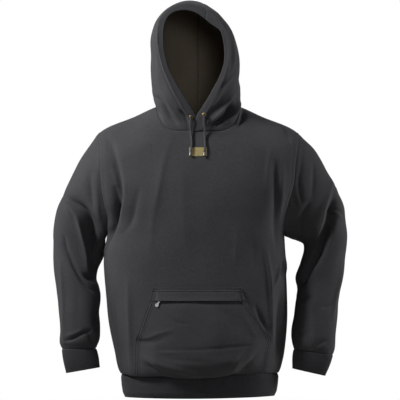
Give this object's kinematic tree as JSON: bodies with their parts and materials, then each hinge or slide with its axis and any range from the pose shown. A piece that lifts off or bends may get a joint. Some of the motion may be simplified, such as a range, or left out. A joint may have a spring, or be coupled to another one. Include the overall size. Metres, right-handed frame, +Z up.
{
  "type": "pullover hoodie",
  "caption": "Filled-out pullover hoodie in charcoal fleece, hood up, with a kangaroo pocket, a covered zip, ribbed hem and cuffs, and short drawcords with metal tips.",
  "frame": {"origin": "middle of the neck seam, level with the shoulders, where the wearer's neck and shoulders hold it up", "axes": "+Z up, the front faces -Y, the wearer's left is +X"},
  "size_m": [0.7549, 0.3059, 1.0079],
  "materials": {
    "fleece": "brushed fleece",
    "rib": "rib knit",
    "label": "woven",
    "braid": "round braid",
    "brass": "aged",
    "steel": "satin"
  },
  "bodies": {
    "hoodie": {"front_panel": "fleece", "back_panel": "fleece", "sleeve_right": "fleece", "sleeve_left": "fleece", "hood_right": "fleece", "hood_left": "fleece", "pocket": "fleece", "pocket_flap": "fleece", "hem_band": "rib", "cuff_right": "rib", "cuff_left": "rib", "label": "label", "eyelet_right": "brass", "eyelet_left": "brass", "drawcord_right": "braid", "drawcord_left": "braid", "cord_tip_right": "steel", "cord_tip_left": "steel", "zip_slider": "steel"},
    "pull": {"zip_pull": "steel"}
  },
  "joints": [
    {"name": "pull_hinge", "type": "hinge", "parent": "hoodie", "child": "pull", "pos_m": [-0.0976, -0.14634, -0.48142], "axis": [-0.7982, 0.3277, 0.5054], "range_deg": [0, 95]}
  ]
}
